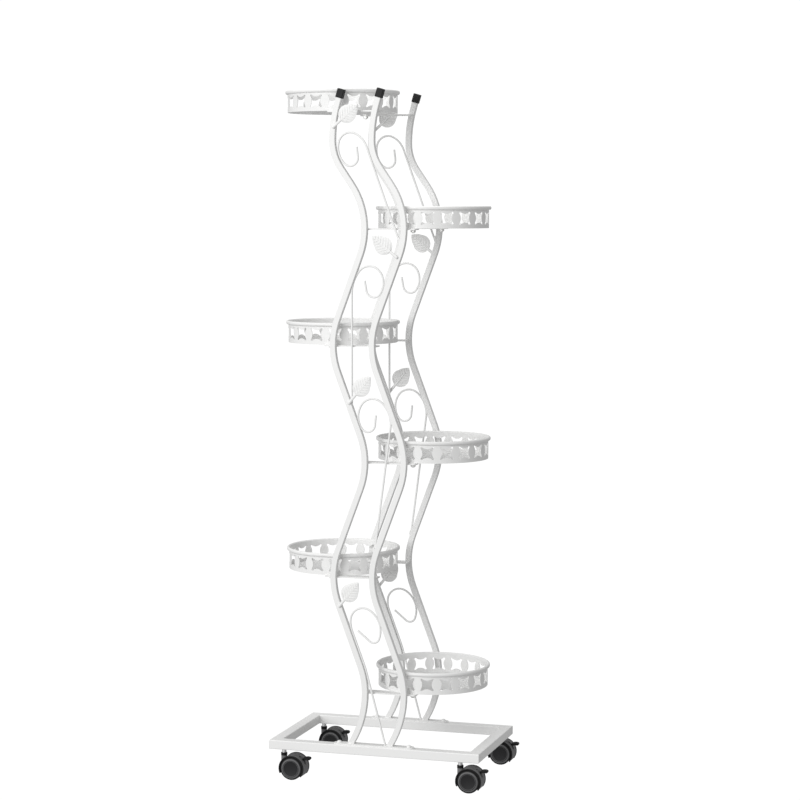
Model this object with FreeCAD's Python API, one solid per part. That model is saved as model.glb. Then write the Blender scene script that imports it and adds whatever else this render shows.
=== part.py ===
import FreeCAD, Part
import math
import os

os.makedirs("parts", exist_ok=True)

# A rolling plant stand of white coated steel. A rectangular base on four twin-wheel casters carries two
# serpentine panels, one behind the other, and six round trays alternate right and left between them.
# Millimetres: X runs along the base, Y from front to back, Z up. The pieces are drawn around the middle of
# the base, and the finished stand has its origin on the floor under the middle of its whole outline.

# Trays of sheet steel with a rolled rim and a pierced wall
tray_radius = 100.0
tray_height = 38.0
tray_wall = 1.2
tray_lead = 19.3
tray_shift = 1.3
tray_side_gap = 2.5
rim_overhang = 4.0
rim_height = 6.4
floor_thickness = 1.2
floor_clearance = 0.05
window_count = 18
window_width = 23.0
window_height = 22.0
window_middle = 17.3
window_tip_radius = 1.8
window_top_sag = 3.5
window_side_sag = 3.1
slot_edge_gap = 13.0
slot_length = 26.0
slot_width = 6.0

# Tiers, counted from the floor up, the lowest one to the right
tier_count = 6
tier_pitch = 200.0
lowest_tray_rise = 90.1

# Posts of square tube, two to a panel; a bend share of 1 would leave no straight slant
post_size = 10.0
post_wall = 1.0
post_edge_radius = 1.0
post_spacing = 70.0
panel_shift = -9.2
bend_reach = 28.5
bend_share = 0.70
foot_bend_radius = 173.0
top_bend_drop = 51.0
top_bend_share = 0.953
top_lower_bend_share = 0.62
post_overshoot = 34.5
tip_lean = math.radians(17.0)
tip_straight = 22.0

# Plastic caps on the post tops
cap_wall = 1.0
cap_skirt = 14.0
cap_roof = 1.5

# Base frame of rectangular tube
base_length = 380.0
rail_width = 20.0
rail_height = 15.8
rail_wall = 1.2
rail_edge_radius = 1.5

# Foot bars between the post feet and the rails, with their bolts and nuts
bar_length = 145.0
bar_width = 16.0
bar_thickness = 2.5
bolt_spacing = 126.0
bolt_radius = 3.0
bolt_hole_clearance = 0.3
bolt_head_radius = 4.5
bolt_head_height = 3.8
bolt_end = 1.5
nut_flats = 10.0
nut_height = 4.0
thread_clearance = 0.02

# Flat rungs under the trays, with their screws and nuts
rung_width = 22.0
rung_thickness = 2.5
rung_overhang = 14.0
rung_corner_radius = 4.0
screw_end_inset = 9.0
screw_wall_gap = 2.8
screw_radius = 2.5
screw_hole_clearance = 0.25
screw_head_radius = 4.5
screw_head_depth = 2.0
screw_head_sink = 0.1
screw_end = 1.5
screw_nut_flats = 8.0
screw_nut_height = 4.0

# Scrolls of round rod: a tail, then four bends of a loop that closes in, then a straight end
rod_radius = 1.75
rod_clearance = 0.05
shoulder_radius = 48.0
crown_radius = 23.0
belly_radius = 36.0
curl_radius = 13.0
scroll_end = 17.0

# Leaves of sheet on short stems of the same rod
leaf_length = 40.0
leaf_width = 31.0
leaf_thickness = 1.5
leaf_side_bulge = 1.6
leaf_stem_length = 17.0

# Casters: stem, hood, axle, two wheels and a brake lever each
wheel_radius = 20.0
wheel_width = 11.0
wheel_gap = 12.0
wheel_rim = 3.0
wheel_disc = 2.2
wheel_bevel = 0.8
wheel_bevel_width = 2.4
wheel_edge = 0.8
wheel_hub_radius = 5.0
axle_radius = 2.5
axle_running_clearance = 0.05
axle_seat_clearance = 0.02
axle_end_inset = 2.8
caster_trail = 18.0
hood_gap = 0.6
hood_wall = 1.6
hood_web = 9.0
hood_web_drop = 11.0
hood_inset = 0.5
hood_headroom = 9.0
hood_front_angle = math.radians(-38.0)
hood_rear_angle = math.radians(204.0)
collar_radius = 5.2
collar_floor = 2.0
left_stem_inset = 25.0
right_stem_inset = 35.0
stem_radius = 4.0
stem_exposed = 7.0
stem_running_clearance = 0.05
stem_foot_clearance = 0.2
stem_hole_clearance = 0.25
stem_head_gap = 3.8
stem_nut_flats = 13.0
stem_nut_height = 6.5
lever_pivot_depth = 7.3
lever_pivot_angle = math.radians(42.0)
lever_boss_radius = 3.0
lever_pin_radius = 1.5
lever_pin_clearance = 0.05
lever_thickness = 3.0
lever_neck_width = 5.0
lever_neck_length = 8.0
lever_neck_heading = math.radians(34.0)
lever_neck_turn = math.radians(8.0)
lever_paddle_width = 13.0
lever_paddle_radius = 14.0
lever_paddle_turn = math.radians(42.0)
lever_tip_length = 1.5
lever_side_clearance = 0.4
lever_slot_low_angle = math.radians(16.0)
lever_slot_high_angle = math.radians(62.0)

# One overrun serves every cut
overrun = 5.0

# Heights and places that follow from the sizes above
hood_radius = wheel_radius + hood_gap + hood_wall
rail_bottom = wheel_radius + hood_radius + hood_headroom
rail_top = rail_bottom + rail_height
bar_top = rail_top + bar_thickness
lowest_tray_height = bar_top + lowest_tray_rise
panel_y = tray_radius + tray_side_gap + post_size / 2
base_depth = 2 * panel_y + rail_width
tray_wall_outer = tray_radius - rim_overhang
tray_wall_inner = tray_wall_outer - tray_wall
quarter_turn = math.pi / 2
panel_places = (("front", -panel_y), ("rear", panel_y))
bolt_places = [(side * bolt_spacing / 2, y) for panel, y in panel_places for side in (-1, 1)]
stem_places = [
    (panel + "_" + hand, x, y)
    for panel, y in panel_places
    for hand, x in (("left", left_stem_inset - base_length / 2), ("right", base_length / 2 - right_stem_inset))
]

# Every finished node, by name
nodes = {}


def vector(x, y, z):
    return FreeCAD.Vector(x, y, z)


def block(x_low, x_high, y_low, y_high, z_low, z_high):
    return Part.makeBox(x_high - x_low, y_high - y_low, z_high - z_low, vector(x_low, y_low, z_low))


def upright(radius, x, y, z_low, z_high):
    return Part.makeCylinder(radius, z_high - z_low, vector(x, y, z_low))


def crosswise(radius, x, z, y_low, y_high):
    return Part.makeCylinder(radius, y_high - y_low, vector(x, y_low, z), vector(0, 1, 0))


def prism(corners, travel):
    return Part.Face(Part.makePolygon(corners + corners[:1])).extrude(travel)


def bored_nut(flats, bore_radius, x, y, z_low, z_high):
    corner_radius = flats / 2 / math.cos(math.pi / 6)
    corners = []
    for side in range(6):
        angle = side * math.pi / 3
        corners.append(vector(x + corner_radius * math.cos(angle), y + corner_radius * math.sin(angle), z_low))
    nut = prism(corners, vector(0, 0, z_high - z_low))
    return nut.cut(upright(bore_radius, x, y, z_low - overrun, z_high + overrun))


def domed_bolt(radius, head_radius, head_height, x, y, z_end, z_seat):
    # A shank under a head that is a spherical cap
    ball_radius = (head_radius ** 2 + head_height ** 2) / (2 * head_height)
    ball = Part.makeSphere(ball_radius, vector(x, y, z_seat + head_height - ball_radius))
    head = ball.common(upright(ball_radius, x, y, z_seat, z_seat + head_height + overrun))
    return head.fuse(upright(radius, x, y, z_end, z_seat)).removeSplitter()


def sunk_screw(radius, head_radius, x, y, z_end, z_top):
    # A shank under a countersunk head
    neck = z_top - screw_head_depth
    head = Part.makeCone(radius, head_radius, screw_head_depth, vector(x, y, neck))
    return head.fuse(upright(radius, x, y, z_end, neck)).removeSplitter()


class Path:
    """A run of straight stretches and tangent arcs in an upright plane, from a start point and heading."""

    def __init__(self, x, z, heading):
        self.joints = [(x, z, heading)]
        self.radii = []

    def straight(self, length):
        x, z, heading = self.joints[-1]
        self.joints.append((x + length * math.cos(heading), z + length * math.sin(heading), heading))
        self.radii.append(None)

    def turn(self, radius, angle):
        # A positive angle turns left, seen with X to the right and Z up
        x, z, heading = self.joints[-1]
        signed = math.copysign(radius, angle)
        x -= signed * math.sin(heading)
        z += signed * math.cos(heading)
        heading += angle
        self.joints.append((x + signed * math.sin(heading), z - signed * math.cos(heading), heading))
        self.radii.append(signed)

    def point(self, index, offset, y):
        x, z, heading = self.joints[index]
        return vector(x - offset * math.sin(heading), y, z + offset * math.cos(heading))

    def edges(self, offset, y):
        # The path's edges, moved sideways to the left by the offset
        result = []
        for index, signed in enumerate(self.radii):
            start = self.point(index, offset, y)
            end = self.point(index + 1, offset, y)
            if signed is None:
                result.append(Part.LineSegment(start, end).toShape())
                continue
            heading = (self.joints[index][2] + self.joints[index + 1][2]) / 2
            centre = self.point(index, signed, y)
            reach = signed - offset
            middle = centre + vector(reach * math.sin(heading), 0, -reach * math.cos(heading))
            result.append(Part.Arc(start, middle, end).toShape())
        return result

    def band(self, thickness, y_low, y_high):
        # A prism along the path, as thick as said and from y_low to y_high
        half = thickness / 2
        last = len(self.joints) - 1
        edges = self.edges(half, y_low) + self.edges(-half, y_low)
        for index in (0, last):
            across = Part.LineSegment(self.point(index, half, y_low), self.point(index, -half, y_low))
            edges.append(across.toShape())
        outline = Part.Wire(Part.__sortEdges__(edges))
        return Part.Face(outline).extrude(vector(0, y_high - y_low, 0))

    def rod(self, radius, y):
        x, z, heading = self.joints[0]
        ring = Part.makeCircle(radius, vector(x, y, z), vector(math.cos(heading), 0, math.sin(heading)))
        return Part.Wire(self.edges(0, y)).makePipeShell([Part.Wire(ring)], True, False)

    def x_at(self, height):
        # Where a rising path crosses a height
        for index, signed in enumerate(self.radii):
            x, z, heading = self.joints[index]
            end_x, end_z, end_heading = self.joints[index + 1]
            if height > end_z and index + 1 < len(self.radii):
                continue
            if signed is None:
                return x + (end_x - x) * (height - z) / (end_z - z)
            centre = self.point(index, signed, 0)
            return centre.x + math.copysign(math.sqrt(signed ** 2 - (height - centre.z) ** 2), signed)


def tier_side(tier):
    # Even tiers are to the right, odd ones to the left
    return 1 if tier % 2 == 0 else -1


def tier_height(tier):
    return lowest_tray_height + tier * tier_pitch


# Posts: each is one tube bent into a serpentine whose bends lie level with the trays

def bends_and_lean(rise, share):
    # The two radii of a swing together, and the lean of the slant between them
    swing = 2 * bend_reach
    radii = share * (rise ** 2 + swing ** 2) / (2 * swing)
    lean = math.atan2(rise, radii - swing) - math.acos(radii / math.hypot(rise, radii - swing))
    return radii, lean


def swing_across(path, side, rise, share, lower_share):
    radii, lean = bends_and_lean(rise, share)
    path.turn(radii * lower_share, side * lean)
    path.straight((rise - radii * math.sin(lean)) / math.cos(lean))
    path.turn(radii * (1 - lower_share), -side * lean)


even_bend_share = 0.5


def post_path(x_middle):
    foot_rise = lowest_tray_rise + overrun
    foot_lean = math.asin(foot_rise / foot_bend_radius)
    foot_x = x_middle + bend_reach - foot_bend_radius * (1 - math.cos(foot_lean))
    path = Path(foot_x, bar_top - overrun, quarter_turn - foot_lean)
    path.turn(foot_bend_radius, foot_lean)
    for tier in range(tier_count - 2):
        swing_across(path, tier_side(tier), tier_pitch, bend_share, even_bend_share)
    top_side = tier_side(tier_count - 2)
    swing_across(path, top_side, tier_pitch - top_bend_drop, top_bend_share, top_lower_bend_share)
    tip_rise = top_bend_drop + post_overshoot
    path.turn((tip_rise - tip_straight * math.cos(tip_lean)) / math.sin(tip_lean), -top_side * tip_lean)
    path.straight(tip_straight)
    return path


left_path = post_path(panel_shift - post_spacing / 2)
right_path = post_path(panel_shift + post_spacing / 2)


def below_bars():
    return block(-base_length, base_length, -base_depth, base_depth, 0, bar_top)


def post_prism(path, size, y_middle):
    return path.band(size, y_middle - size / 2, y_middle + size / 2)


def post_tube(path, y_middle):
    outer = post_prism(path, post_size, y_middle)
    ends = (path.joints[0], path.joints[-1])
    long_edges = []
    for edge in outer.Edges:
        middle = edge.CenterOfMass
        at_end = any(math.hypot(middle.x - x, middle.z - z) < post_size for x, z, heading in ends)
        on_face = abs(abs(middle.y - y_middle) - post_size / 2) < post_wall / 2
        if on_face and not at_end:
            long_edges.append(edge)
    outer = outer.makeFillet(post_edge_radius, long_edges)
    inner = post_prism(path, post_size - 2 * post_wall, y_middle)
    return outer.cut(inner).cut(below_bars())


def post_cap(path, y_middle):
    # A square cup pushed over the tube's straight end
    x, z, heading = path.joints[-1]
    inner = post_size / 2
    half = inner + cap_wall
    cup = block(-half, half, -half, half, -cap_skirt, cap_roof)
    cup = cup.makeFillet(cap_wall, [edge for edge in cup.Edges if edge.CenterOfMass.z > -cap_skirt])
    cup = cup.cut(block(-inner, inner, -inner, inner, -cap_skirt - overrun, 0))
    cup.rotate(vector(0, 0, 0), vector(0, 1, 0), math.degrees(quarter_turn - heading))
    return cup.translated(vector(x, y_middle, z))


caps = []
for panel, y_panel in panel_places:
    for hand, path in (("left", left_path), ("right", right_path)):
        nodes[panel + "_" + hand + "_post"] = post_tube(path, y_panel)
        caps.append(post_cap(path, y_panel))
nodes["post_caps"] = Part.makeCompound(caps)


# Base: four rails of rectangular tube, mitred at the corners

def rail(length):
    # Drawn along X with the longer face towards negative Y
    half_length = length / 2
    half_width = rail_width / 2
    tube = block(-half_length, half_length, -half_width, half_width, rail_bottom, rail_top)
    long_edges = [edge for edge in tube.Edges if abs(edge.CenterOfMass.x) < half_width]
    tube = tube.makeFillet(rail_edge_radius, long_edges)
    inner = half_width - rail_wall
    tube = tube.cut(block(-half_length - overrun, half_length + overrun, -inner, inner,
                          rail_bottom + rail_wall, rail_top - rail_wall))
    reach = half_width + overrun
    for side in (-1, 1):
        outside = side * (half_length + overrun)
        corners = [
            vector(outside, -reach, rail_bottom - overrun),
            vector(side * (half_length - half_width - reach), reach, rail_bottom - overrun),
            vector(outside, reach, rail_bottom - overrun),
        ]
        tube = tube.cut(prism(corners, vector(0, 0, rail_height + 2 * overrun)))
    return tube


for name, length, turned, x, y in (
    ("front_rail", base_length, 0, 0, -panel_y),
    ("rear_rail", base_length, 180, 0, panel_y),
    ("left_rail", base_depth, 270, -(base_length - rail_width) / 2, 0),
    ("right_rail", base_depth, 90, (base_length - rail_width) / 2, 0),
):
    tube = rail(length)
    tube.rotate(vector(0, 0, 0), vector(0, 0, 1), turned)
    tube = tube.translated(vector(x, y, 0))
    stem_hole = stem_radius + stem_hole_clearance
    bolt_hole = bolt_radius + bolt_hole_clearance
    lower_wall = rail_bottom + rail_wall
    upper_wall = rail_top - rail_wall
    holes = [upright(stem_hole, hole_x, hole_y, rail_bottom - overrun, lower_wall + overrun)
             for stem, hole_x, hole_y in stem_places]
    holes += [upright(bolt_hole, hole_x, hole_y, upper_wall - overrun, rail_top + overrun)
              for hole_x, hole_y in bolt_places]
    nodes[name] = tube.cut(holes)


# Foot bars: the post feet are welded to them, and two bolts each hold them to nuts inside the rails

def foot_bar(y):
    half_width = bar_width / 2
    half_run = bar_length / 2 - half_width
    bar = block(-half_run, half_run, y - half_width, y + half_width, rail_top, bar_top)
    bar = bar.fuse([upright(half_width, side * half_run, y, rail_top, bar_top) for side in (-1, 1)])
    holes = [upright(bolt_radius + bolt_hole_clearance, bolt_x, bolt_y, rail_top - overrun, bar_top + overrun)
             for bolt_x, bolt_y in bolt_places]
    return bar.removeSplitter().cut(holes)


for panel, y_panel in panel_places:
    nodes[panel + "_foot_bar"] = foot_bar(y_panel)
nut_top = rail_top - rail_wall
nut_bottom = nut_top - nut_height
nodes["base_bolts"] = Part.makeCompound([
    domed_bolt(bolt_radius, bolt_head_radius, bolt_head_height, x, y, nut_bottom - bolt_end, bar_top)
    for x, y in bolt_places
])
nodes["base_nuts"] = Part.makeCompound([
    bored_nut(nut_flats, bolt_radius + thread_clearance, x, y, nut_bottom, nut_top) for x, y in bolt_places
])


# Rungs: a flat bar per tray and panel, welded to the inner faces of both posts

def near_post_x(tier):
    path = right_path if tier_side(tier) > 0 else left_path
    return path.x_at(tier_height(tier))


def screw_place(tier, y_panel):
    x = near_post_x(tier) + tier_side(tier) * (post_size / 2 + rung_overhang - screw_end_inset)
    return x, math.copysign(tray_wall_inner - screw_head_radius - screw_wall_gap, y_panel)


def screw_hole(tier, y_panel):
    # Through the tray's floor and the rung below it, with room around the screw
    x, y = screw_place(tier, y_panel)
    seat = tier_height(tier) + floor_thickness
    head_radius = screw_head_radius + screw_hole_clearance
    low = tier_height(tier) - rung_thickness - overrun
    hole = sunk_screw(screw_radius + screw_hole_clearance, head_radius, x, y, low, seat)
    return hole.fuse(upright(head_radius, x, y, seat, seat + overrun))


def rung(tier, y_panel):
    side = tier_side(tier)
    near_end = near_post_x(tier) + side * (post_size / 2 + rung_overhang)
    far_end = near_post_x(tier) - side * (post_size / 2 + post_spacing)
    outer_edge = y_panel - math.copysign(post_size / 2, y_panel)
    inner_edge = outer_edge - math.copysign(rung_width, y_panel)
    top = tier_height(tier)
    bar = block(min(near_end, far_end), max(near_end, far_end), min(outer_edge, inner_edge),
                max(outer_edge, inner_edge), top - rung_thickness, top)
    corners = []
    for edge in bar.Edges:
        upright_edge = edge.Vertexes[0].Z != edge.Vertexes[-1].Z
        if upright_edge and side * edge.CenterOfMass.x > side * near_post_x(tier):
            corners.append(edge)
    bar = bar.makeFillet(rung_corner_radius, corners)
    return bar.cut(screw_hole(tier, y_panel))


for panel, y_panel in panel_places:
    nodes[panel + "_rungs"] = Part.makeCompound([rung(tier, y_panel) for tier in range(tier_count)])


# Trays: a rolled and pierced wall around a flat slotted floor

def tray_wall_ring():
    bead_radius = (tray_radius - tray_wall_inner) / 2
    bead_middle = tray_wall_inner + bead_radius
    bead_high = tray_height - bead_radius
    bead_low = tray_height - rim_height + bead_radius
    tuck = math.sqrt(bead_radius ** 2 - (bead_middle - tray_wall_outer) ** 2)
    under = math.atan2(-tuck, tray_wall_outer - bead_middle) / 2

    def spot(radius, z):
        return vector(radius, 0, z)

    arch = Part.Arc(spot(tray_wall_inner, bead_high), spot(bead_middle, tray_height),
                    spot(tray_radius, bead_high))
    hem = Part.Arc(spot(tray_radius, bead_low),
                   spot(bead_middle + bead_radius * math.cos(under), bead_low + bead_radius * math.sin(under)),
                   spot(tray_wall_outer, bead_low - tuck))
    profile = [
        Part.LineSegment(spot(tray_wall_inner, 0), spot(tray_wall_inner, bead_high)),
        arch,
        Part.LineSegment(spot(tray_radius, bead_high), spot(tray_radius, bead_low)),
        hem,
        Part.LineSegment(spot(tray_wall_outer, bead_low - tuck), spot(tray_wall_outer, 0)),
        Part.LineSegment(spot(tray_wall_outer, 0), spot(tray_wall_inner, 0)),
    ]
    outline = Part.Wire([piece.toShape() for piece in profile])
    return Part.Face(outline).revolve(vector(0, 0, 0), vector(0, 0, 1), 360)


def window_cutter():
    # Four rounded tips joined by sides that bow inwards, each side tangent to the tips beside it
    tip_y = window_width / 2 - window_tip_radius
    tip_z = window_height / 2 - window_tip_radius
    top_reach = (tip_y ** 2 + window_top_sag ** 2) / (2 * window_top_sag)
    side_reach = (tip_z ** 2 + window_side_sag ** 2) / (2 * window_side_sag)
    top_share = window_tip_radius / top_reach
    side_share = window_tip_radius / side_reach
    top_y = tip_y * (1 - top_share)
    top_z = tip_z + (top_reach - window_top_sag) * top_share
    side_y = tip_y + (side_reach - window_side_sag) * side_share
    side_z = tip_z * (1 - side_share)
    diagonal = window_tip_radius * math.sqrt(0.5)
    bow_z = window_height / 2 - window_top_sag
    bow_y = window_width / 2 - window_side_sag
    x = tray_wall_inner - overrun

    def spot(y, z):
        return vector(x, y, window_middle + z)

    arcs = []
    for y_sign in (-1, 1):
        side_middle = spot(y_sign * bow_y, 0)
        arcs.append(Part.Arc(spot(y_sign * side_y, -side_z), side_middle, spot(y_sign * side_y, side_z)))
        for z_sign in (-1, 1):
            tip = spot(y_sign * (tip_y + diagonal), z_sign * (tip_z + diagonal))
            beside = spot(y_sign * side_y, z_sign * side_z)
            arcs.append(Part.Arc(spot(y_sign * top_y, z_sign * top_z), tip, beside))
    for z_sign in (-1, 1):
        top_middle = spot(0, z_sign * bow_z)
        arcs.append(Part.Arc(spot(-top_y, z_sign * top_z), top_middle, spot(top_y, z_sign * top_z)))
    outline = Part.Wire(Part.__sortEdges__([arc.toShape() for arc in arcs]))
    return Part.Face(outline).extrude(vector(tray_radius - x + overrun, 0, 0))


def turned_copies(shape, count):
    copies = []
    for index in range(count):
        copy = shape.copy()
        copy.rotate(vector(0, 0, 0), vector(0, 0, 1), 360 * index / count)
        copies.append(copy)
    return copies


def slotted_disc():
    floor_radius = tray_wall_inner - floor_clearance
    half = slot_width / 2
    outer = floor_radius - slot_edge_gap - half
    inner = outer - (slot_length - slot_width)
    slot = block(inner, outer, -half, half, -overrun, floor_thickness + overrun)
    slot = slot.fuse([upright(half, x, 0, -overrun, floor_thickness + overrun) for x in (inner, outer)])
    disc = upright(floor_radius, 0, 0, 0, floor_thickness)
    return disc.cut(turned_copies(slot.removeSplitter(), window_count))


pierced_wall = tray_wall_ring().cut(turned_copies(window_cutter(), window_count))
slotted_floor = slotted_disc()
screws = []
screw_nuts = []
for tier in range(tier_count):
    # Trays are numbered from the top down
    name = "tray_" + str(tier_count - tier)
    bottom = tier_height(tier)
    seat = bottom + floor_thickness
    screw_nut_top = bottom - rung_thickness
    screw_nut_low = screw_nut_top - screw_nut_height
    middle = panel_shift + tray_shift + tier_side(tier) * (post_spacing / 2 + bend_reach + tray_lead)
    place = vector(middle, 0, bottom)
    nodes[name + "_wall"] = pierced_wall.translated(place)
    floor = slotted_floor.translated(place)
    for panel, y_panel in panel_places:
        x, y = screw_place(tier, y_panel)
        floor = floor.cut(screw_hole(tier, y_panel))
        screws.append(sunk_screw(screw_radius, screw_head_radius, x, y, screw_nut_low - screw_end,
                                 seat - screw_head_sink))
        screw_nuts.append(bored_nut(screw_nut_flats, screw_radius + thread_clearance, x, y,
                                    screw_nut_low, screw_nut_top))
    nodes[name + "_floor"] = floor
nodes["tray_screws"] = Part.makeCompound(screws)
nodes["tray_nuts"] = Part.makeCompound(screw_nuts)


# Scrolls, listed from the lowest up. A side of 1 has the tail on the left and a loop that turns right.
# The weld's height and the tail's length are shares of a tier; the radii's shares and the turns, in degrees,
# are those of the shoulder, the crown, the belly and the curl; the last shares are those of the end.
scroll_sides = (1, -1, 1, -1)
scroll_weld_shares = (0, 1.21, 2.473, 3.86)
scroll_tail_shares = (0.314, 1.1, 0.972, 0.89)
scroll_tail_leans = (None, -7.6, 0, 20.0)
scroll_radius_shares = (
    (0.855, 0.99, 1.14, 0.83),
    (1.04, 1.04, 1.02, 1.0),
    (1.29, 1.02, 0.92, 1.04),
    (0.79, 0.92, 1.05, 1.07),
)
scroll_turns = ((28, 114, 79, 109), (55, 100, 67, 140), (38, 112, 65, 135), (45, 100, 62, 140))
scroll_end_shares = (1.62, 1.0, 1.0, 1.0)


def lowest_tail(length):
    # From the bar beside the right post's foot, against the left post's lowest bend and along its slant
    radii, slant_lean = bends_and_lean(tier_pitch, bend_share)
    bend_radius = radii * even_bend_share
    reach = bend_radius + post_size / 2 + rod_radius + rod_clearance
    bend_x = panel_shift - post_spacing / 2 + bend_reach - bend_radius
    foot_x = right_path.x_at(bar_top) - post_size / 2 - 2 * rod_radius
    far = math.hypot(foot_x - bend_x, lowest_tray_rise)
    lean = math.acos(reach / far) - math.atan2(lowest_tray_rise, foot_x - bend_x)
    path = Path(foot_x + overrun * math.sin(lean), bar_top - overrun * math.cos(lean), quarter_turn + lean)
    path.straight(overrun + math.sqrt(far ** 2 - reach ** 2))
    path.turn(reach, slant_lean - lean)
    path.straight(length)
    return path


def welded_tail(side, weld_height, lean, length):
    # From inside a post's wall, straight up to the loop
    post = left_path if side > 0 else right_path
    path = Path(post.x_at(weld_height) + side * (post_size / 2 - rod_radius), weld_height, quarter_turn + lean)
    path.straight(length)
    return path


def scroll_tail(index):
    length = scroll_tail_shares[index] * tier_pitch
    if scroll_tail_leans[index] is None:
        return lowest_tail(length)
    weld_height = lowest_tray_height + scroll_weld_shares[index] * tier_pitch
    return welded_tail(scroll_sides[index], weld_height, math.radians(scroll_tail_leans[index]), length)


def scroll(index, y):
    side = scroll_sides[index]
    path = scroll_tail(index)
    loop_radii = (shoulder_radius, crown_radius, belly_radius, curl_radius)
    for radius, share, turn in zip(loop_radii, scroll_radius_shares[index], scroll_turns[index]):
        path.turn(radius * share, -side * math.radians(turn))
    path.straight(scroll_end * scroll_end_shares[index])
    posts = [post_prism(post, post_size, y) for post in (left_path, right_path)]
    return path.rod(rod_radius, y).cut(posts + [below_bars()])


for panel, y_panel in panel_places:
    rods = [scroll(index, y_panel) for index in range(len(scroll_sides))]
    nodes[panel + "_scrolls"] = Part.makeCompound(rods)


# Leaves, welded by their stems to the outer faces of the posts and listed from the lowest up: the weld's
# height as a share of a tier, the post that carries it, its heading in degrees and its share of the stem
leaf_weld_shares = (0.74, 2.5, 3.75, 4.85)
leaf_paths = (left_path, left_path, right_path, left_path)
leaf_headings = (51, 50, 140, 41)
leaf_stem_shares = (1.0, 1.3, 1.0, 1.2)


def leaf(y, stem_length):
    # Drawn along X from the weld at the origin, with the tip outwards
    round_radius = leaf_width / 2
    round_x = stem_length + round_radius
    tip_x = stem_length + leaf_length
    touch_angle = math.acos(round_radius / (tip_x - round_x))
    touch_x = round_x + round_radius * math.cos(touch_angle)
    touch_z = round_radius * math.sin(touch_angle)
    bulge_x = (touch_x + tip_x) / 2 + leaf_side_bulge * math.cos(touch_angle)
    bulge_z = touch_z / 2 + leaf_side_bulge * math.sin(touch_angle)
    blade_y = y - leaf_thickness / 2
    tip = vector(tip_x, blade_y, 0)
    upper = vector(touch_x, blade_y, touch_z)
    lower = vector(touch_x, blade_y, -touch_z)
    outline = Part.Wire([
        Part.Arc(tip, vector(bulge_x, blade_y, bulge_z), upper).toShape(),
        Part.Arc(upper, vector(stem_length, blade_y, 0), lower).toShape(),
        Part.Arc(lower, vector(bulge_x, blade_y, -bulge_z), tip).toShape(),
    ])
    blade = Part.Face(outline).extrude(vector(0, leaf_thickness, 0))
    stem = Part.makeCylinder(rod_radius, round_x, vector(0, y, 0), vector(1, 0, 0))
    return blade.fuse(stem)


def leaves(y):
    result = []
    for share, path, heading, stem_share in zip(leaf_weld_shares, leaf_paths, leaf_headings, leaf_stem_shares):
        height = lowest_tray_height + share * tier_pitch
        piece = leaf(y, leaf_stem_length * stem_share)
        piece.rotate(vector(0, y, 0), vector(0, -1, 0), heading)
        result.append(piece.translated(vector(path.x_at(height), 0, height)))
    return result


for panel, y_panel in panel_places:
    leaf_y = y_panel + math.copysign(post_size / 2 + rod_clearance + rod_radius, y_panel)
    nodes[panel + "_leaves"] = Part.makeCompound(leaves(leaf_y))


# Casters: drawn with the stem on the Z axis and the wheels trailing towards positive X

lever_pivot_reach = hood_radius - lever_pivot_depth
lever_pivot_x = caster_trail + lever_pivot_reach * math.cos(lever_pivot_angle)
lever_pivot_z = wheel_radius + lever_pivot_reach * math.sin(lever_pivot_angle)


def ring_sector(inner, outer, y_half, start, end):
    # Part of a ring around the wheel axis, from one angle to another
    middle = (start + end) / 2

    def spot(radius, angle):
        return vector(caster_trail + radius * math.cos(angle), -y_half, wheel_radius + radius * math.sin(angle))

    outline = Part.Wire([
        Part.Arc(spot(outer, start), spot(outer, middle), spot(outer, end)).toShape(),
        Part.LineSegment(spot(outer, end), spot(inner, end)).toShape(),
        Part.Arc(spot(inner, end), spot(inner, middle), spot(inner, start)).toShape(),
        Part.LineSegment(spot(inner, start), spot(outer, start)).toShape(),
    ])
    return Part.Face(outline).extrude(vector(0, 2 * y_half, 0))


def caster_stem():
    foot = wheel_radius + collar_floor + stem_foot_clearance
    return upright(stem_radius, 0, 0, foot, rail_top - rail_wall - stem_head_gap)


def caster_hood():
    # A curved shell over both wheels, a web between them and a collar that turns on the stem
    shell_inner = hood_radius - hood_wall
    half_width = wheel_gap / 2 + wheel_width - hood_inset
    web_half = hood_web / 2
    collar_top = rail_bottom - stem_exposed
    shell = ring_sector(shell_inner, hood_radius, half_width, hood_front_angle, hood_rear_angle)
    web = crosswise(hood_radius - hood_wall / 2, caster_trail, wheel_radius, -web_half, web_half)
    web_low = wheel_radius - hood_web_drop
    web = web.cut(block(-base_length, base_length, -hood_web, hood_web, -hood_radius, web_low))
    hood = shell.fuse([web, upright(collar_radius, 0, 0, wheel_radius, collar_top)])
    bore_low = wheel_radius + collar_floor
    stem_bore = upright(stem_radius + stem_running_clearance, 0, 0, bore_low, collar_top + overrun)
    axle_bore = crosswise(axle_radius + axle_seat_clearance, caster_trail, wheel_radius, -hood_web, hood_web)
    pin_bore_radius = lever_pin_radius + lever_pin_clearance
    pin_bore = crosswise(pin_bore_radius, lever_pivot_x, lever_pivot_z, -hood_web, hood_web)
    slot_inner = lever_pivot_reach - lever_boss_radius - lever_side_clearance
    slot_half = lever_neck_width / 2 + lever_side_clearance
    slot = ring_sector(slot_inner, hood_radius + overrun, slot_half,
                       lever_slot_low_angle, lever_slot_high_angle)
    return hood.cut([stem_bore, axle_bore, pin_bore, slot]).removeSplitter()


def caster_axle():
    half = wheel_gap / 2 + wheel_width - axle_end_inset
    return crosswise(axle_radius, caster_trail, wheel_radius, -half, half)


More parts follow.
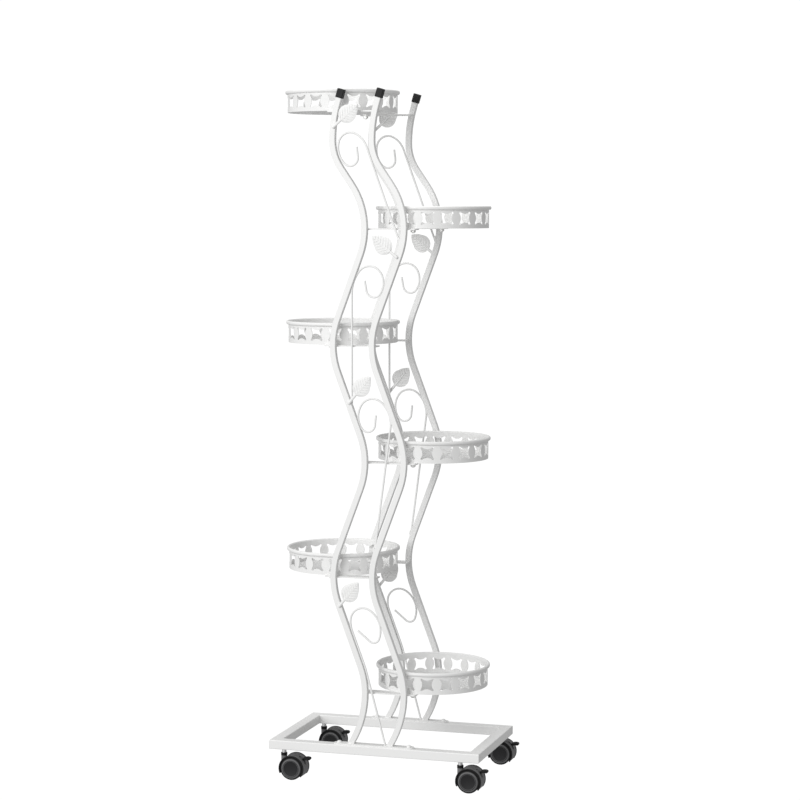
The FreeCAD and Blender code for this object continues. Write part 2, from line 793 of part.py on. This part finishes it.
def caster_wheel():
    # A cup turned about the axle: tread rim, bevelled outer disc and hub, on the side of positive Y
    inner = wheel_gap / 2
    outer = inner + wheel_width
    shoulder = outer - wheel_bevel
    bore_end = outer - wheel_disc
    disc_back = bore_end - wheel_bevel
    rim_radius = wheel_radius - wheel_rim
    tread_edge = wheel_radius - wheel_edge
    face_radius = rim_radius - wheel_bevel_width / 2
    bore = axle_radius + axle_running_clearance
    profile = (
        (bore, inner), (wheel_hub_radius, inner), (wheel_hub_radius, disc_back), (rim_radius, disc_back),
        (rim_radius, inner), (tread_edge, inner), (wheel_radius, inner + wheel_edge),
        (wheel_radius, shoulder - wheel_edge), (tread_edge, shoulder),
        (face_radius + wheel_bevel_width, shoulder), (face_radius, outer), (0, outer), (0, bore_end),
        (bore, bore_end),
    )
    corners = [vector(caster_trail + radius, y, wheel_radius) for radius, y in profile]
    face = Part.Face(Part.makePolygon(corners + corners[:1]))
    return face.revolve(vector(caster_trail, 0, wheel_radius), vector(0, 1, 0), 360)


def caster_lever():
    # A pedal whose neck turns on two moulded pins in the hood's web
    neck_half = lever_neck_width / 2
    neck = Path(lever_pivot_x, lever_pivot_z, lever_neck_heading)
    neck.straight(lever_neck_length)
    neck.turn(lever_paddle_radius, -lever_neck_turn)
    paddle = Path(*neck.joints[-1])
    paddle.turn(lever_paddle_radius, -lever_paddle_turn)
    paddle.straight(lever_tip_length)
    lever = neck.band(lever_thickness, -neck_half, neck_half)
    return lever.fuse([
        paddle.band(lever_thickness, -lever_paddle_width / 2, lever_paddle_width / 2),
        crosswise(lever_boss_radius, lever_pivot_x, lever_pivot_z, -neck_half, neck_half),
        crosswise(lever_pin_radius, lever_pivot_x, lever_pivot_z, -hood_web / 2, hood_web / 2),
    ]).removeSplitter()


rear_side_wheel = caster_wheel()
front_side_wheel = rear_side_wheel.mirror(vector(0, 0, 0), vector(0, 1, 0))
caster_pieces = {
    "stem": caster_stem(),
    "hood": caster_hood(),
    "axle": caster_axle(),
    "brake_lever": caster_lever(),
}
stem_nuts = []
for name, x, y in stem_places:
    place = vector(x, y, 0)
    for piece, shape in caster_pieces.items():
        nodes[name + "_" + piece] = shape.translated(place)
    rear_name, front_name = ("_outer_wheel", "_inner_wheel") if y > 0 else ("_inner_wheel", "_outer_wheel")
    nodes[name + rear_name] = rear_side_wheel.translated(place)
    nodes[name + front_name] = front_side_wheel.translated(place)
    seat = rail_bottom + rail_wall
    stem_nuts.append(bored_nut(stem_nut_flats, stem_radius + thread_clearance, x, y,
                               seat, seat + stem_nut_height))
nodes["stem_nuts"] = Part.makeCompound(stem_nuts)


# The origin goes under the middle of the whole outline, and each node is written to its own file
middle = Part.makeCompound(list(nodes.values())).optimalBoundingBox(False, False).Center
for name, shape in nodes.items():
    shape.translated(vector(-middle.x, -middle.y, 0)).exportStep(os.path.join("parts", name + ".step"))
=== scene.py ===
import math

import bpy
from mathutils import Matrix, Vector


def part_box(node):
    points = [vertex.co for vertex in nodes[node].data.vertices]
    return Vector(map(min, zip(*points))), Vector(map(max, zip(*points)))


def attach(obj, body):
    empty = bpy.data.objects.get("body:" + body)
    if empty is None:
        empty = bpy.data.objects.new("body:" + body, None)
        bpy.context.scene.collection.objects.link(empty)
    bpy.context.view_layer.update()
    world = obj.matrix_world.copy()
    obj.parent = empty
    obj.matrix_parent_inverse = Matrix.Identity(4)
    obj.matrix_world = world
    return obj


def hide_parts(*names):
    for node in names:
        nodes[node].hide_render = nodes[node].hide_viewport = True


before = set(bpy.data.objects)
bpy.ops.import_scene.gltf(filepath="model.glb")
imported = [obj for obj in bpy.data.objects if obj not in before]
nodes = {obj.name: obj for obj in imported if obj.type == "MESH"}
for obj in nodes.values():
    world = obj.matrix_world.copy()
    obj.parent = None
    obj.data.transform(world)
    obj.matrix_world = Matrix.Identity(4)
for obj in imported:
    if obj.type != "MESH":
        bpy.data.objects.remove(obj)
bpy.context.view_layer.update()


# Base frame: four rails of rectangular steel tube, mitred, welded at the corners and powder coated white.
# Two flat bars are bolted onto the long rails. The coating is satin, with the faint orange peel of powder.

class Term:
    """A socket of a finish's node tree. Arithmetic on it adds Math nodes."""

    def __init__(self, finish, socket):
        self.finish = finish
        self.socket = socket

    def math(self, operation, *values):
        return self.finish.add("ShaderNodeMath", {"operation": operation}, dict(enumerate(values)))

    def __add__(self, other):
        return self.math("ADD", self, other)

    __radd__ = __add__

    def __mul__(self, other):
        return self.math("MULTIPLY", self, other)

    __rmul__ = __mul__


class Finish:
    """A material under construction: a Principled shader and the nodes that feed it."""

    def __init__(self, name):
        self.material = bpy.data.materials.new(name)
        self.material.use_nodes = True
        self.tree = self.material.node_tree
        self.shader = self.tree.nodes["Principled BSDF"]

    def join(self, socket, value):
        if isinstance(value, Term):
            self.tree.links.new(value.socket, socket)
        else:
            socket.default_value = value

    def add(self, kind, settings, sockets, output=0):
        node = self.tree.nodes.new(kind)
        for key, value in settings.items():
            setattr(node, key, value)
        for key, value in sockets.items():
            self.join(node.inputs[key], value)
        return Term(self, node.outputs[output])

    def shade(self, sockets):
        for key, value in sockets.items():
            self.join(self.shader.inputs[key], value)

    def place(self):
        return self.add("ShaderNodeTexCoord", {}, {}, "Object")

    def noise(self, place, scale, detail):
        return self.add("ShaderNodeTexNoise", {}, {"Vector": place, "Scale": scale, "Detail": detail})

    def mix(self, share, first, second):
        # A colour Mix node keeps its colours in sockets 6 and 7 and gives the result at output 2
        return self.add("ShaderNodeMix", {"data_type": "RGBA"}, {0: share, 6: first, 7: second}, 2)

    def bump(self, height, strength, distance):
        return self.add("ShaderNodeBump", {}, {"Height": height, "Strength": strength, "Distance": distance})


def powder_coat():
    coat = Finish("white_powder_coat")
    place = coat.place()
    cloud = coat.noise(place, 7.0, 3.0)
    peel = coat.noise(place, 420.0, 2.0)
    grain = coat.noise(place, 1900.0, 1.0)
    tone = coat.mix(cloud, (0.80, 0.80, 0.795, 1), (0.85, 0.85, 0.845, 1))
    coat.shade({
        "Base Color": coat.mix(grain * 0.15, tone, (0.77, 0.77, 0.76, 1)),
        "Roughness": 0.36 + 0.16 * peel + 0.06 * cloud,
        "Specular IOR Level": 0.35,
        "Coat Weight": 0.06 + 0.06 * cloud,
        "Coat Roughness": 0.25,
        "Normal": coat.bump(peel + 0.3 * grain, 0.07, 0.0003),
    })
    return coat.material


white_coat = powder_coat()


def finish_nodes(material, names):
    for name in names:
        data = nodes[name].data
        data.materials.clear()
        data.materials.append(material)


rail_names = ("front_rail", "rear_rail", "left_rail", "right_rail")
finish_nodes(white_coat, rail_names + ("front_foot_bar", "rear_foot_bar", "base_bolts"))


# Posts: four square tubes bent into serpentines, two to each panel, with their feet welded to the bars.
# Moulded black caps are pushed over the open tops.

def moulded_plastic(name, dark, light, grain_scale):
    plastic = Finish(name)
    place = plastic.place()
    grain = plastic.noise(place, grain_scale, 2.0)
    cloud = plastic.noise(place, 60.0, 3.0)
    plastic.shade({
        "Base Color": plastic.mix(0.65 * cloud + 0.35 * grain, dark, light),
        "Roughness": 0.42 + 0.2 * grain + 0.1 * cloud,
        "Specular IOR Level": 0.27,
        "Normal": plastic.bump(grain, 0.12, 0.0002),
    })
    return plastic.material


black_plastic = moulded_plastic(
    "black_moulding", (0.003, 0.003, 0.0033, 1), (0.008, 0.008, 0.0085, 1), 2400.0)
post_names = [panel + hand for panel in ("front", "rear") for hand in ("_left_post", "_right_post")]
finish_nodes(white_coat, post_names)
finish_nodes(black_plastic, ["post_caps"])


# Weld beads: short runs where the feet stand on the bars, where the rungs meet the posts and where the scroll
# tails join them. They are ground little and coated over with the rest.

def fresh_selection():
    if bpy.context.object is not None and bpy.context.object.mode != "OBJECT":
        bpy.ops.object.mode_set(mode="OBJECT")
    bpy.ops.object.select_all(action="DESELECT")


def named_piece(name):
    piece = bpy.context.object
    piece.name = name
    piece.data.name = name
    bpy.ops.object.transform_apply(location=True, rotation=True, scale=True)
    return piece


def copied(piece, matrix):
    twin = piece.copy()
    twin.data = piece.data.copy()
    twin.data.transform(matrix)
    bpy.context.scene.collection.objects.link(twin)
    return twin


def joined(pieces, name):
    fresh_selection()
    for piece in pieces:
        piece.select_set(True)
    bpy.context.view_layer.objects.active = pieces[0]
    if len(pieces) > 1:
        bpy.ops.object.join()
    return named_piece(name)


def remove(piece):
    bpy.data.objects.remove(piece)


def weld_bead():
    # A lump along X, with the ripples that the torch leaves
    half_length, half_width, ripple_pitch, ripple_share = 0.0045, 0.0013, 0.0017, 0.1
    fresh_selection()
    bpy.ops.mesh.primitive_uv_sphere_add(segments=14, ring_count=24, radius=1, rotation=(0, math.pi / 2, 0))
    bead = named_piece("weld_bead")
    for vertex in bead.data.vertices:
        x = vertex.co.x * half_length
        swell = half_width * (1 + ripple_share * math.cos(2 * math.pi * x / ripple_pitch))
        vertex.co = (x, vertex.co.y * swell, vertex.co.z * swell)
    bpy.ops.object.shade_smooth()
    return bead


bead = weld_bead()
bar_low, bar_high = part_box("front_foot_bar")
bar_x = (bar_low.x + bar_high.x) / 2
bar_top = bar_high.z
panel_y = -(bar_low.y + bar_high.y) / 2
post_half = 0.005
post_spacing = 0.07
rung_thickness = 0.0025
foot_bead_gap, rung_bead_gap, tail_bead_reach = 0.0004, 0.0002, 0.0015
tier_heights = [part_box("tray_" + str(6 - tier) + "_floor")[0].z for tier in range(6)]
left_foot_x = bar_x - 0.04102
left_post_xs = [bar_x + x for x in (-0.0157, -0.0727, -0.0157, -0.0727, -0.0157, -0.06672)]
# Each tail's weld: its place along the panel, its height and the tail's heading there in degrees
tail_welds = ((bar_x + 0.0205, bar_top + 0.0007, 105.0), (bar_x + 0.0004, tier_heights[1] + 0.051, 82.4),
              (bar_x - 0.0399, tier_heights[2] + 0.1016, 90.0),
              (bar_x + 0.0467, tier_heights[4] - 0.019, 110.0))
across = Matrix.Rotation(math.pi / 2, 4, "Z")
for panel, side in (("front", -1), ("rear", 1)):
    y = side * panel_y
    beads = []
    for x in (left_foot_x, left_foot_x + post_spacing):
        for edge in (-1, 1):
            beside = (x + edge * (post_half + foot_bead_gap), y, bar_top)
            beads.append(copied(bead, Matrix.Translation(beside) @ across))
            beads.append(copied(bead, Matrix.Translation((x, y + edge * post_half, bar_top))))
    for height, x in zip(tier_heights, left_post_xs):
        for post_x in (x, x + post_spacing):
            under = (post_x, y - side * (post_half + rung_bead_gap), height - rung_thickness - rung_bead_gap)
            beads.append(copied(bead, Matrix.Translation(under)))
    for x, height, heading in tail_welds:
        turned = Matrix.Rotation(-math.radians(heading), 4, "Y")
        for edge in (-1, 1):
            beads.append(copied(bead, Matrix.Translation((x, y + edge * tail_bead_reach, height)) @ turned))
    welds = joined(beads, panel + "_weld_beads")
    welds.data.materials.clear()
    welds.data.materials.append(white_coat)
    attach(welds, "frame")
remove(bead)


# Trays: a rolled and pierced wall of sheet steel around a slotted floor, screwed down to two flat rungs each.
# The screws are coated like the trays, and the nuts under the rungs are zinc plated.

def plated_steel(name, dark, light, roughness):
    steel = Finish(name)
    place = steel.place()
    streak = steel.add("ShaderNodeMapping", {}, {"Vector": place, "Scale": (900.0, 900.0, 90.0)})
    brush = steel.noise(streak, 1.0, 3.0)
    bloom = steel.noise(place, 140.0, 2.0)
    steel.shade({
        "Base Color": steel.mix(0.6 * brush + 0.4 * bloom, dark, light),
        "Metallic": 1.0,
        "Roughness": roughness + 0.18 * brush,
        "Normal": steel.bump(brush, 0.12, 0.0001),
    })
    return steel.material


zinc_plate = plated_steel("zinc_plate", (0.74, 0.74, 0.73, 1), (0.88, 0.88, 0.86, 1), 0.36)
bright_steel = plated_steel("bright_steel", (0.84, 0.84, 0.84, 1), (0.96, 0.96, 0.96, 1), 0.3)
tray_names = ["tray_" + str(number) + part for number in range(1, 7) for part in ("_wall", "_floor")]
finish_nodes(white_coat, tray_names + ["front_rungs", "rear_rungs", "tray_screws"])
finish_nodes(zinc_plate, ["tray_nuts", "base_nuts", "stem_nuts"])


# Scrolls: round steel rod, each with a long tail and a loop that closes in on itself. They are welded between
# the posts of each panel and coated with them.
finish_nodes(white_coat, ["front_scrolls", "rear_scrolls"])


# Leaves: stamped sheet blades with side veins, on stems of the scrolls' rod that taper into the midrib.
# Each stem lies on a post's outer face, held by one short weld, and the leaf is coated with the rest.

leaf_length = 0.04


def leaf_half_width(x):
    # A round base, then sides that run with a slight bulge to a point
    round_radius, bulge = 0.0155, 0.002
    touch = math.acos(round_radius / (leaf_length - round_radius))
    touch_x = round_radius * (1 + math.cos(touch))
    if x < touch_x:
        return math.sqrt(max(0.0, round_radius ** 2 - (x - round_radius) ** 2))
    share = (x - touch_x) / (leaf_length - touch_x)
    return round_radius * math.sin(touch) * (1 - share) + 4 * bulge * share * (1 - share)


def leaf_relief(x, z, edge_share):
    # Height of the stamped surface: midrib, side veins and pillows between them
    midrib_height, midrib_half_width = 0.0007, 0.0016
    vein_height, vein_pitch, vein_lean, vein_sharpness, vein_start = 0.0013, 0.0056, 0.75, 16, 0.0015
    pillow_height, cup_depth = 0.0005, 0.0006
    midrib = midrib_height * math.exp(-(z / midrib_half_width) ** 2)
    phase = math.pi * (x - vein_lean * abs(z)) / vein_pitch
    vein = vein_height * math.cos(phase) ** vein_sharpness
    pillow = pillow_height * abs(math.sin(phase))
    fade = (1 - edge_share ** 4) * min(1.0, abs(z) / vein_start)
    return midrib + (vein + pillow) * fade - cup_depth * edge_share ** 2


def stamped_leaf(stem_length):
    # Along X from the weld at the origin, its face towards negative Y
    rows, columns, gauge, merge_distance = 72, 40, 0.0012, 0.00001
    rod_radius, flattening, taper_power, midrib_share = 0.00175, 1.45, 0.6, 0.9
    fresh_selection()
    bpy.ops.mesh.primitive_grid_add(x_subdivisions=rows, y_subdivisions=columns, size=2)
    blade = named_piece("leaf_blade")
    for vertex in blade.data.vertices:
        share = (vertex.co.x + 1) / 2
        x = leaf_length * (1 - math.cos(math.pi * share)) / 2
        z = vertex.co.y * leaf_half_width(x)
        relief = leaf_relief(x, z, abs(vertex.co.y))
        vertex.co = (stem_length + x, -relief, z)
    bpy.ops.object.mode_set(mode="EDIT")
    bpy.ops.mesh.select_all(action="SELECT")
    bpy.ops.mesh.remove_doubles(threshold=merge_distance)
    bpy.ops.object.mode_set(mode="OBJECT")
    sheet = blade.modifiers.new("gauge", "SOLIDIFY")
    sheet.thickness = gauge
    sheet.offset = 0
    bpy.ops.object.modifier_apply(modifier="gauge")
    bpy.ops.object.mode_set(mode="EDIT")
    bpy.ops.mesh.select_all(action="SELECT")
    bpy.ops.mesh.normals_make_consistent(inside=False)
    bpy.ops.object.mode_set(mode="OBJECT")
    reach = stem_length + midrib_share * leaf_length
    fresh_selection()
    bpy.ops.mesh.primitive_uv_sphere_add(segments=18, ring_count=32, radius=1, rotation=(0, math.pi / 2, 0))
    stem = named_piece("leaf_stem")
    for vertex in stem.data.vertices:
        # The sphere is drawn out into a rod with a round root and a long tapered end
        x = reach * (vertex.co.x + 1) / 2
        across = math.hypot(vertex.co.y, vertex.co.z)
        taper = min(1.0, (reach - x) / leaf_length)
        root_share = min(1.0, x / rod_radius)
        root = math.sqrt(max(0.0, root_share * (2 - root_share)))
        swell = rod_radius * taper ** taper_power * root / max(across, merge_distance / 10)
        vertex.co = (x, vertex.co.y * swell, vertex.co.z * swell * flattening)
    return joined([blade, stem], "leaf")


# Each leaf's weld: its place along the panel, its height over the lowest tray, its heading and its stem
leaf_places = ((-0.06222, 0.148, 51, 0.017), (-0.0442, 0.5, 50, 0.0221), (0.04458, 0.75, 140, 0.017),
               (-0.0717, 0.97, 41, 0.0204))
leaf_stand_off = 0.0018
leaf_y = panel_y + post_half + leaf_stand_off
for panel, side in (("front", -1), ("rear", 1)):
    blades = []
    for x, height, heading, stem_length in leaf_places:
        turned = Matrix.Rotation(-math.radians(heading), 4, "Y")
        facing = Matrix.Identity(4) if side < 0 else Matrix.Rotation(math.pi, 4, "X")
        leaf = stamped_leaf(stem_length)
        root = (bar_x + x, side * leaf_y, tier_heights[0] + height)
        leaf.data.transform(Matrix.Translation(root) @ turned @ facing)
        blades.append(leaf)
    leaves = joined(blades, panel + "_stamped_leaves")
    bpy.ops.object.shade_smooth_by_angle(angle=math.radians(40))
    leaves.data.materials.clear()
    leaves.data.materials.append(white_coat)
    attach(leaves, "frame")
    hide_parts(panel + "_leaves")


# Casters: a bright steel stem near each corner, and a grey moulded hood with black lips that swivels on it.
# A black sleeve is around the hood's collar. Two black wheels with dark covers turn on a steel axle, and a
# black brake pedal tilts on pins in the hood. The lighter grey on the covers' chamfered rings is a painted
# highlight.

hood_plastic = moulded_plastic("hood_moulding", (0.14, 0.14, 0.143, 1), (0.19, 0.19, 0.193, 1), 1600.0)
cover_plastic = moulded_plastic("grey_moulding", (0.009, 0.009, 0.01, 1), (0.015, 0.015, 0.016, 1), 1600.0)
# Painted highlight: a lighter grey for the sloped chamfer faces of the wheel covers
chamfer_highlight_plastic = moulded_plastic("chamfer_highlight_moulding", (0.09, 0.09, 0.092, 1), (0.15, 0.15, 0.153, 1), 1600.0)
wheel_radius = 0.02
caster_trail = 0.018
corners = ("front_left", "front_right", "rear_left", "rear_right")


def brake_pedal():
    # A flat bar mapped onto the pedal's line: a neck from the pivot, then a paddle that curls down
    pivot_x, pivot_z, heading = 0.02907, 0.02997, math.radians(34)
    neck, curl_radius, curl, tip = 0.008, 0.014, math.radians(50), 0.0015
    neck_half_width, paddle_half_width, shoulder, rounding = 0.0024, 0.0065, 0.0035, 0.004
    neck_half_gauge, paddle_swell, rib_height, rib_pitch = 0.0015, 0.0012, 0.00025, 0.0022
    tip_width_share, tip_gauge_share, edge_thinning_share, top_share = 0.62, 0.45, 0.35, 0.9
    boss_radius, boss_width, boss_edge = 0.003, 0.005, 0.0004
    total = neck + curl_radius * curl + tip
    fresh_selection()
    bpy.ops.mesh.primitive_cube_add(size=2)
    pedal = named_piece("brake_pedal")
    bpy.ops.object.mode_set(mode="EDIT")
    bpy.ops.mesh.select_all(action="SELECT")
    bpy.ops.mesh.subdivide(number_cuts=31)
    bpy.ops.object.mode_set(mode="OBJECT")
    for vertex in pedal.data.vertices:
        along = total * (vertex.co.x + 1) / 2
        widen = min(1.0, max(0.0, (along - neck) / shoulder))
        end_share = min(1.0, max(0.0, (total - along) / rounding))
        blunt = math.sqrt(end_share * (2 - end_share))
        half_width = neck_half_width + (paddle_half_width - neck_half_width) * widen * widen * (3 - 2 * widen)
        half_width *= tip_width_share + (1 - tip_width_share) * blunt
        half_gauge = (neck_half_gauge + paddle_swell * widen) * (1 - edge_thinning_share * vertex.co.y ** 4)
        half_gauge *= tip_gauge_share + (1 - tip_gauge_share) * blunt
        lift = half_gauge * vertex.co.z
        if vertex.co.z > top_share:
            lift += rib_height * widen * max(0.0, math.sin(2 * math.pi * (along - neck) / rib_pitch))
        turned = min(max(along - neck, 0.0), curl_radius * curl) / curl_radius
        angle = heading - turned
        rest = max(0.0, along - neck - curl_radius * curl)
        x = pivot_x + min(along, neck) * math.cos(heading)
        z = pivot_z + min(along, neck) * math.sin(heading)
        x += curl_radius * (math.sin(heading) - math.sin(angle))
        z += curl_radius * (math.cos(angle) - math.cos(heading))
        x += rest * math.cos(angle) - lift * math.sin(angle)
        z += rest * math.sin(angle) + lift * math.cos(angle)
        vertex.co = (x, half_width * vertex.co.y, z)
    fresh_selection()
    bpy.ops.mesh.primitive_cylinder_add(vertices=32, radius=boss_radius, depth=boss_width,
                                        location=(pivot_x, 0, pivot_z), rotation=(math.pi / 2, 0, 0))
    boss = named_piece("pedal_boss")
    rounded = boss.modifiers.new("rounded", "BEVEL")
    rounded.width = boss_edge
    rounded.segments = 2
    bpy.ops.object.modifier_apply(modifier="rounded")
    return joined([pedal, boss], "brake_pedal")


def edit_faces_towards(piece, direction):
    # Edit mode, with only the faces that look one way selected
    least_alignment = 0.9
    bpy.ops.object.mode_set(mode="EDIT")
    bpy.ops.mesh.select_mode(type="FACE")
    bpy.ops.mesh.select_all(action="DESELECT")
    bpy.ops.object.mode_set(mode="OBJECT")
    for face in piece.data.polygons:
        face.select = face.normal.dot(Vector(direction)) > least_alignment
    bpy.ops.object.mode_set(mode="EDIT")


def wheel_cover():
    # A moulded disc with a chamfered edge and a dished middle, on a wheel's outer face, drawn at positive Y
    radius, gauge, middle_y = 0.0174, 0.0006, 0.0163
    # From the edge inwards, the width of each step and how far it rises
    steps = ((0.0001, 0.0001), (0.0021, 0.0012), (0.0003, 0.0001), (0.0012, 0.0), (0.0005, -0.0002))
    # The sloped faces, whose normals lie between these, take a lighter grey: a painted highlight on the
    # chamfer
    steepest, flattest = 0.2, 0.95
    fresh_selection()
    bpy.ops.mesh.primitive_cylinder_add(vertices=96, radius=radius, depth=gauge,
                                        location=(0, middle_y, 0), rotation=(math.pi / 2, 0, 0))
    cover = named_piece("wheel_cover")
    cover.data.materials.append(cover_plastic)
    cover.data.materials.append(chamfer_highlight_plastic)
    edit_faces_towards(cover, (0, 1, 0))
    for width, rise in steps:
        bpy.ops.mesh.inset(thickness=width, depth=rise)
    bpy.ops.object.mode_set(mode="OBJECT")
    # Painted highlight: the chamfer's sloped faces take the lighter grey plastic
    for face in cover.data.polygons:
        if steepest < face.normal.y < flattest:
            face.material_index = 1
    bpy.ops.object.shade_smooth_by_angle(angle=math.radians(25))
    return cover


def hood_lip():
    # A rounded band around one open edge of the hood, swept about the wheel axis and drawn at positive Y
    inner, outer, low, high, rounding, merge_distance = 0.0204, 0.0229, 0.0142, 0.0171, 0.0009, 0.00001
    start, end, steps = math.radians(-38), math.radians(204), 96
    fresh_selection()
    bpy.ops.mesh.primitive_plane_add(size=1)
    lip = named_piece("hood_lip")
    for vertex in lip.data.vertices:
        radius = inner if vertex.co.x < 0 else outer
        vertex.co = (radius, low if vertex.co.y < 0 else high, 0)
    lip.data.transform(Matrix.Rotation(-start, 4, "Y"))
    bpy.ops.object.mode_set(mode="EDIT")
    bpy.ops.mesh.select_all(action="SELECT")
    bpy.ops.mesh.spin(steps=steps, angle=end - start, center=(0, 0, 0), axis=(0, 1, 0))
    bpy.ops.mesh.select_all(action="SELECT")
    bpy.ops.mesh.remove_doubles(threshold=merge_distance)
    bpy.ops.mesh.normals_make_consistent(inside=False)
    bpy.ops.object.mode_set(mode="OBJECT")
    rounded = lip.modifiers.new("rounded", "BEVEL")
    rounded.width = rounding
    rounded.segments = 3
    rounded.limit_method = "ANGLE"
    rounded.angle_limit = math.radians(40)
    bpy.ops.object.modifier_apply(modifier="rounded")
    bpy.ops.object.shade_smooth_by_angle(angle=math.radians(40))
    return lip


def collar_sleeve():
    # A bush around the top of the hood's collar, with a chamfered upper edge
    radius, height, chamfer_width, chamfer_rise = 0.0056, 0.0045, 0.0005, 0.0004
    fresh_selection()
    bpy.ops.mesh.primitive_cylinder_add(vertices=48, radius=radius, depth=height)
    sleeve = named_piece("collar_sleeve")
    edit_faces_towards(sleeve, (0, 0, 1))
    bpy.ops.mesh.inset(thickness=chamfer_width, depth=chamfer_rise)
    bpy.ops.object.mode_set(mode="OBJECT")
    bpy.ops.object.shade_smooth_by_angle(angle=math.radians(50))
    return sleeve


pedal = brake_pedal()
cover = wheel_cover()
lip = hood_lip()
sleeve = collar_sleeve()
sleeve_drop = 0.002
half_turn = Matrix.Rotation(math.pi, 4, "Z")
mirrored = Matrix.Scale(-1, 4, (0, 1, 0))
for corner in corners:
    stem_low, stem_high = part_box(corner + "_stem")
    x = (stem_low.x + stem_high.x) / 2
    y = (stem_low.y + stem_high.y) / 2
    finish_nodes(bright_steel, [corner + "_stem", corner + "_axle"])
    finish_nodes(hood_plastic, [corner + "_hood"])
    finish_nodes(black_plastic, [corner + "_outer_wheel", corner + "_inner_wheel"])
    lever = copied(pedal, Matrix.Translation((x, y, 0)))
    lever.name = corner + "_brake_pedal"
    lever.data.materials.clear()
    lever.data.materials.append(black_plastic)
    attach(lever, corner + "_brake")
    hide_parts(corner + "_brake_lever")
    axle = Matrix.Translation((x + caster_trail, y, wheel_radius))
    for wheel in ("outer_wheel", "inner_wheel"):
        low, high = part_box(corner + "_" + wheel)
        rearward = (low.y + high.y) / 2 > y
        disc = copied(cover, axle if rearward else axle @ half_turn)
        disc.name = corner + "_" + wheel + "_cover"
        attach(disc, corner + "_" + wheel)
    collar_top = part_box(corner + "_hood")[1].z
    bush = copied(sleeve, Matrix.Translation((x, y, collar_top - sleeve_drop)))
    bush.name = corner + "_collar_sleeve"
    bush.data.materials.append(black_plastic)
    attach(bush, corner + "_swivel")
    rear_lip = copied(lip, axle)
    front_lip = copied(lip, axle @ mirrored)
    front_lip.data.flip_normals()
    for band, place in ((rear_lip, "rear"), (front_lip, "front")):
        band.name = corner + "_hood_" + place + "_lip"
        band.data.materials.append(black_plastic)
        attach(band, corner + "_swivel")
for piece in (pedal, cover, lip, sleeve):
    remove(piece)


# Studio: one large soft light in front to the left, a weaker one high overhead and a pale surround that fills
# the shadows and is seen as plain white.

def softbox(name, place, target, size, power):
    light = bpy.data.lights.new(name, "AREA")
    light.shape = "SQUARE"
    light.size = size
    light.energy = power
    lamp = bpy.data.objects.new(name, light)
    aim = (Vector(place) - Vector(target)).to_track_quat("Z", "Y").to_matrix().to_4x4()
    lamp.matrix_world = Matrix.Translation(place) @ aim
    bpy.context.scene.collection.objects.link(lamp)


softbox("key_light", (-1.7, -4.6, 2.1), (0, 0, 0.6), 3.4, 180)
softbox("top_light", (-0.3, 0.3, 6.0), (0, 0, 0), 3.0, 140)
world = bpy.data.worlds.new("studio_surround")
world.use_nodes = True
surround = world.node_tree.nodes
fill_strength, sweep_strength = 0.45, 1.05
seen = surround.new("ShaderNodeLightPath")
strength = surround.new("ShaderNodeMapRange")
strength.inputs["To Min"].default_value = fill_strength
strength.inputs["To Max"].default_value = sweep_strength
world.node_tree.links.new(seen.outputs["Is Camera Ray"], strength.inputs["Value"])
world.node_tree.links.new(strength.outputs["Result"], surround["Background"].inputs["Strength"])
surround["Background"].inputs["Color"].default_value = (1, 1, 1, 1)
bpy.context.scene.world = world

# Camera: a long lens in front and to the right, level with the second tray and tipped down a little
azimuth = math.radians(17.08)
pitch = math.radians(4.762)
back = Vector((math.sin(azimuth) * math.cos(pitch), -math.cos(azimuth) * math.cos(pitch), math.sin(pitch)))
right = Vector((math.cos(azimuth), math.sin(azimuth), 0))
up = back.cross(right)
lens = bpy.data.cameras.new("front_camera")
lens.sensor_width = 36
lens.lens = 104.86
camera = bpy.data.objects.new("front_camera", lens)
turn = Matrix((right, up, back)).transposed().to_4x4()
camera_place = (1.20123, -3.886, 0.9979)
camera.matrix_world = Matrix.Translation(camera_place) @ turn
bpy.context.scene.collection.objects.link(camera)
bpy.context.scene.camera = camera
bpy.context.scene.view_settings.view_transform = "Standard"
